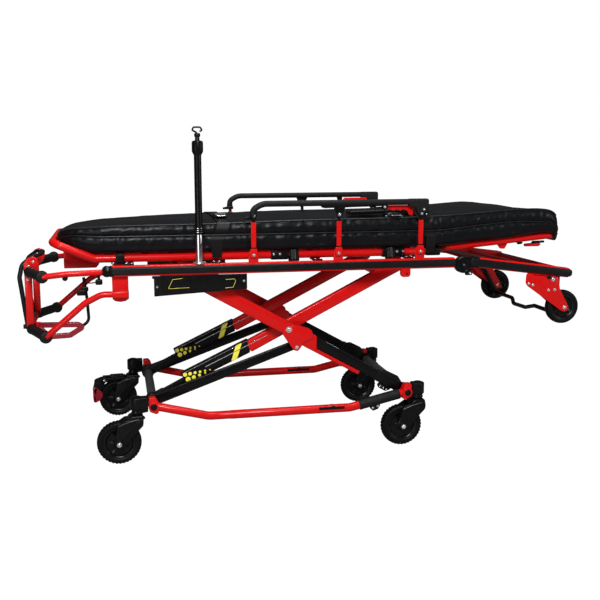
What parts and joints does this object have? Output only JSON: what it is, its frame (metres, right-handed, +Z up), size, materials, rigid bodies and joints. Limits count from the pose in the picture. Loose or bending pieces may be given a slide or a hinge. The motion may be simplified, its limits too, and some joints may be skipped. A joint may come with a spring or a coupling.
{
  "type": "stretcher trolley",
  "caption": "Height-adjustable X-frame stretcher trolley with tilting backrest, folding side rails, drip pole, head-end load wheels and swivel casters.",
  "frame": {"origin": "on the floor, under the middle of the trolley", "axes": "+X towards the head end, +Y to the far side, +Z up"},
  "size_m": [2.007, 0.656, 1.14],
  "materials": {
    "red_paint": "gloss",
    "black_paint": "satin",
    "black_plastic": "satin",
    "grip_rubber": "matte",
    "tyre": "matte",
    "wheel_hub": "satin",
    "grey_steel": "satin",
    "chrome": "polished",
    "bolt_steel": "satin",
    "vinyl": "satin",
    "webbing": "matte",
    "buckle": "gloss",
    "yellow_mark": "gloss",
    "nameplate": "satin",
    "cable_sheath": "gloss",
    "red_label": "gloss"
  },
  "bodies": {
    "base_head": {"head_cross_tube": "grey_steel", "head_side_near": "red_paint", "head_side_far": "red_paint", "head_arm_near": "black_plastic", "head_arm_far": "black_plastic"},
    "base_foot": {"foot_cross_tube": "grey_steel", "foot_side_near": "red_paint", "foot_side_far": "red_paint", "foot_arm_near": "black_plastic", "foot_arm_far": "black_plastic"},
    "leg_b_lower": {"leg_b_lower_near": "black_paint", "leg_b_lower_far": "black_paint"},
    "leg_b_upper": {"leg_b_upper_near": "red_paint", "leg_b_upper_far": "red_paint", "leg_b_cross_bar": "red_paint"},
    "leg_a_upper": {"leg_a_upper_near": "red_paint", "leg_a_upper_far": "red_paint", "leg_a_cross_plate": "red_paint"},
    "leg_a_lower": {"leg_a_lower_near": "black_paint", "leg_a_lower_far": "black_paint"},
    "links": {"link_near": "black_paint", "link_far": "black_paint"},
    "litter": {"litter_frame": "red_paint", "rail_near": "red_paint", "rail_far": "red_paint", "foot_frame": "red_paint", "drip_pole": "black_plastic", "mattress_main": "vinyl", "mattress_fold": "vinyl"},
    "head_section": {"head_frame": "red_paint", "load_bracket_near": "red_paint", "load_bracket_far": "red_paint"},
    "backrest": {"backrest_frame": "red_paint", "mattress_back": "vinyl"},
    "backrest_handle": {"backrest_handle": "red_paint"},
    "safety_bar": {"safety_bar": "black_paint"},
    "release_bar": {"release_bar": "grip_rubber"},
    "release_handle": {"release_handle": "red_paint"},
    "drip_rod": {"drip_rod": "chrome"},
    "brake_pedal": {"brake_pedal": "red_paint"},
    "foot_caster_near": {"foot_caster_near_fork": "black_plastic"},
    "foot_wheel_near": {"foot_caster_near_wheel": "tyre"},
    "foot_caster_far": {"foot_caster_far_fork": "black_plastic"},
    "foot_wheel_far": {"foot_caster_far_wheel": "tyre"},
    "head_caster_near": {"head_caster_near_fork": "black_plastic"},
    "head_wheel_near": {"head_caster_near_wheel": "tyre"},
    "head_caster_far": {"head_caster_far_fork": "black_plastic"},
    "head_wheel_far": {"head_caster_far_wheel": "tyre"},
    "load_wheel_near": {"load_wheel_near": "tyre"},
    "load_wheel_far": {"load_wheel_far": "tyre"},
    "rail_post_near_1": {"rail_post_near_1": "red_paint"},
    "rail_post_near_2": {"rail_post_near_2": "red_paint"},
    "rail_post_near_3": {"rail_post_near_3": "red_paint"},
    "side_rail_near": {"side_rail_near": "grip_rubber"},
    "side_latch_near": {"side_latch_near": "red_paint"},
    "rail_post_far_1": {"rail_post_far_1": "red_paint"},
    "rail_post_far_2": {"rail_post_far_2": "red_paint"},
    "rail_post_far_3": {"rail_post_far_3": "red_paint"},
    "side_rail_far": {"side_rail_far": "grip_rubber"},
    "side_latch_far": {"side_latch_far": "red_paint"}
  },
  "joints": [
    {"name": "lift", "type": "hinge", "parent": "base_head", "child": "leg_b_lower", "pos_m": [0.349, 0, 0.195], "axis": [0, 1, 0], "range_deg": [-16, 10]},
    {"name": "leg_b_slide", "type": "slide", "parent": "leg_b_lower", "child": "leg_b_upper", "axis": [-0.8709, 0, 0.4915], "range_m": [-0.058, 0.0363]},
    {"name": "leg_a_pivot", "type": "hinge", "parent": "leg_b_upper", "child": "leg_a_upper", "pos_m": [-0.078, 0, 0.436], "axis": [0, 1, 0], "range_deg": [-19.4, 30.9]},
    {"name": "leg_a_slide", "type": "slide", "parent": "leg_a_upper", "child": "leg_a_lower", "axis": [-0.8918, 0, -0.4525], "range_m": [-0.0525, 0.0328]},
    {"name": "foot_base_pivot", "type": "hinge", "parent": "leg_a_lower", "child": "base_foot", "pos_m": [-0.553, 0, 0.195], "axis": [0, 1, 0], "range_deg": [-14.9, 9.4]},
    {"name": "link_pivot", "type": "hinge", "parent": "base_foot", "child": "links", "pos_m": [-0.553, 0, 0.195], "axis": [0, 1, 0], "range_deg": [-9.3, 14.8]},
    {"name": "litter_pivot", "type": "hinge", "parent": "leg_a_upper", "child": "litter", "pos_m": [0.3278, 0, 0.6419], "axis": [0, 1, 0], "range_deg": [-14.9, 9.4]},
    {"name": "foot_caster_near_swivel", "type": "hinge", "parent": "base_foot", "child": "foot_caster_near", "pos_m": [-0.609, -0.29, 0.19], "axis": [0, 0, 1], "continuous": true},
    {"name": "foot_wheel_near_spin", "type": "hinge", "parent": "foot_caster_near", "child": "foot_wheel_near", "pos_m": [-0.671, -0.29, 0.075], "axis": [0, 1, 0], "continuous": true},
    {"name": "foot_caster_far_swivel", "type": "hinge", "parent": "base_foot", "child": "foot_caster_far", "pos_m": [-0.609, 0.29, 0.19], "axis": [0, 0, 1], "continuous": true},
    {"name": "foot_wheel_far_spin", "type": "hinge", "parent": "foot_caster_far", "child": "foot_wheel_far", "pos_m": [-0.671, 0.29, 0.075], "axis": [0, 1, 0], "continuous": true},
    {"name": "head_caster_near_swivel", "type": "hinge", "parent": "base_head", "child": "head_caster_near", "pos_m": [0.392, -0.29, 0.19], "axis": [0, 0, 1], "continuous": true},
    {"name": "head_wheel_near_spin", "type": "hinge", "parent": "head_caster_near", "child": "head_wheel_near", "pos_m": [0.33, -0.29, 0.075], "axis": [0, 1, 0], "continuous": true},
    {"name": "head_caster_far_swivel", "type": "hinge", "parent": "base_head", "child": "head_caster_far", "pos_m": [0.392, 0.29, 0.19], "axis": [0, 0, 1], "continuous": true},
    {"name": "head_wheel_far_spin", "type": "hinge", "parent": "head_caster_far", "child": "head_wheel_far", "pos_m": [0.33, 0.29, 0.075], "axis": [0, 1, 0], "continuous": true},
    {"name": "brake_pedal_press", "type": "hinge", "parent": "foot_caster_far", "child": "brake_pedal", "pos_m": [-0.723, 0.29, 0.152], "axis": [0, -1, 0], "range_deg": [0, 6], "stiffness_Nm_per_rad": 0.6, "springref_deg": -8.59},
    {"name": "head_section_hinge", "type": "hinge", "parent": "litter", "child": "head_section", "pos_m": [0.548, 0, 0.653], "axis": [0, -1, 0], "range_deg": [-15, 6]},
    {"name": "backrest_hinge", "type": "hinge", "parent": "litter", "child": "backrest", "pos_m": [0.47, 0, 0.697], "axis": [0, -1, 0], "range_deg": [-5.3, 65], "deforming": ["mattress_fold"]},
    {"name": "backrest_handle_lift", "type": "hinge", "parent": "backrest", "child": "backrest_handle", "pos_m": [0.9069, -0.208, 0.7078], "axis": [0, 1, 0], "range_deg": [0, 15], "stiffness_Nm_per_rad": 0.5, "springref_deg": -11.46},
    {"name": "safety_bar_hinge", "type": "hinge", "parent": "head_section", "child": "safety_bar", "pos_m": [0.872, 0, 0.56], "axis": [0, 1, 0], "range_deg": [0, 20], "stiffness_Nm_per_rad": 1.5, "springref_deg": -11.46},
    {"name": "load_wheel_near_spin", "type": "hinge", "parent": "head_section", "child": "load_wheel_near", "pos_m": [0.942, -0.292, 0.487], "axis": [0, 1, 0], "continuous": true},
    {"name": "load_wheel_far_spin", "type": "hinge", "parent": "head_section", "child": "load_wheel_far", "pos_m": [0.942, 0.292, 0.487], "axis": [0, 1, 0], "continuous": true},
    {"name": "rail_post_near_1_hinge", "type": "hinge", "parent": "litter", "child": "rail_post_near_1", "pos_m": [-0.206, -0.305, 0.705], "axis": [0, -1, 0], "range_deg": [0, 75]},
    {"name": "rail_post_near_2_hinge", "type": "hinge", "parent": "litter", "child": "rail_post_near_2", "pos_m": [0.09, -0.305, 0.705], "axis": [0, -1, 0], "range_deg": [0, 75]},
    {"name": "rail_post_near_3_hinge", "type": "hinge", "parent": "litter", "child": "rail_post_near_3", "pos_m": [0.385, -0.305, 0.705], "axis": [0, -1, 0], "range_deg": [0, 75]},
    {"name": "side_rail_near_hinge", "type": "hinge", "parent": "rail_post_near_1", "child": "side_rail_near", "pos_m": [-0.206, -0.305, 0.838], "axis": [0, -1, 0], "range_deg": [-75, 0]},
    {"name": "side_latch_near_lift", "type": "hinge", "parent": "side_rail_near", "child": "side_latch_near", "pos_m": [0.348, -0.29, 0.856], "axis": [0, 1, 0], "range_deg": [0, 12], "stiffness_Nm_per_rad": 0.1, "springref_deg": -17.19},
    {"name": "rail_post_far_1_hinge", "type": "hinge", "parent": "litter", "child": "rail_post_far_1", "pos_m": [-0.206, 0.305, 0.705], "axis": [0, -1, 0], "range_deg": [0, 75]},
    {"name": "rail_post_far_2_hinge", "type": "hinge", "parent": "litter", "child": "rail_post_far_2", "pos_m": [0.09, 0.305, 0.705], "axis": [0, -1, 0], "range_deg": [0, 75]},
    {"name": "rail_post_far_3_hinge", "type": "hinge", "parent": "litter", "child": "rail_post_far_3", "pos_m": [0.385, 0.305, 0.705], "axis": [0, -1, 0], "range_deg": [0, 75]},
    {"name": "side_rail_far_hinge", "type": "hinge", "parent": "rail_post_far_1", "child": "side_rail_far", "pos_m": [-0.206, 0.305, 0.838], "axis": [0, -1, 0], "range_deg": [-75, 0]},
    {"name": "side_latch_far_lift", "type": "hinge", "parent": "side_rail_far", "child": "side_latch_far", "pos_m": [0.348, 0.29, 0.856], "axis": [0, 1, 0], "range_deg": [0, 12], "stiffness_Nm_per_rad": 0.1, "springref_deg": -17.19},
    {"name": "drip_rod_slide", "type": "slide", "parent": "litter", "child": "drip_rod", "axis": [0, 0, 1], "range_m": [0, 0.2]},
    {"name": "release_bar_squeeze", "type": "hinge", "parent": "litter", "child": "release_bar", "pos_m": [-0.955, 0, 0.455], "axis": [0, 1, 0], "range_deg": [0, 7], "stiffness_Nm_per_rad": 5, "springref_deg": -5.73},
    {"name": "release_handle_lift", "type": "hinge", "parent": "litter", "child": "release_handle", "pos_m": [-0.955, 0, 0.455], "axis": [0, -1, 0], "range_deg": [0, 8], "stiffness_Nm_per_rad": 4, "springref_deg": -8.59}
  ],
  "couplings": [
    {"joint": "leg_b_slide", "follows": "lift", "m_per_rad": 0.2074},
    {"joint": "leg_a_pivot", "follows": "lift", "ratio": -1.93},
    {"joint": "leg_a_slide", "follows": "lift", "m_per_rad": 0.1877},
    {"joint": "foot_base_pivot", "follows": "lift", "ratio": 0.93},
    {"joint": "link_pivot", "follows": "lift", "ratio": -0.9244},
    {"joint": "litter_pivot", "follows": "lift", "ratio": 0.93},
    {"joint": "rail_post_near_2_hinge", "follows": "rail_post_near_1_hinge", "ratio": 1},
    {"joint": "rail_post_near_3_hinge", "follows": "rail_post_near_1_hinge", "ratio": 1},
    {"joint": "side_rail_near_hinge", "follows": "rail_post_near_1_hinge", "ratio": -1},
    {"joint": "rail_post_far_2_hinge", "follows": "rail_post_far_1_hinge", "ratio": 1},
    {"joint": "rail_post_far_3_hinge", "follows": "rail_post_far_1_hinge", "ratio": 1},
    {"joint": "side_rail_far_hinge", "follows": "rail_post_far_1_hinge", "ratio": -1}
  ]
}
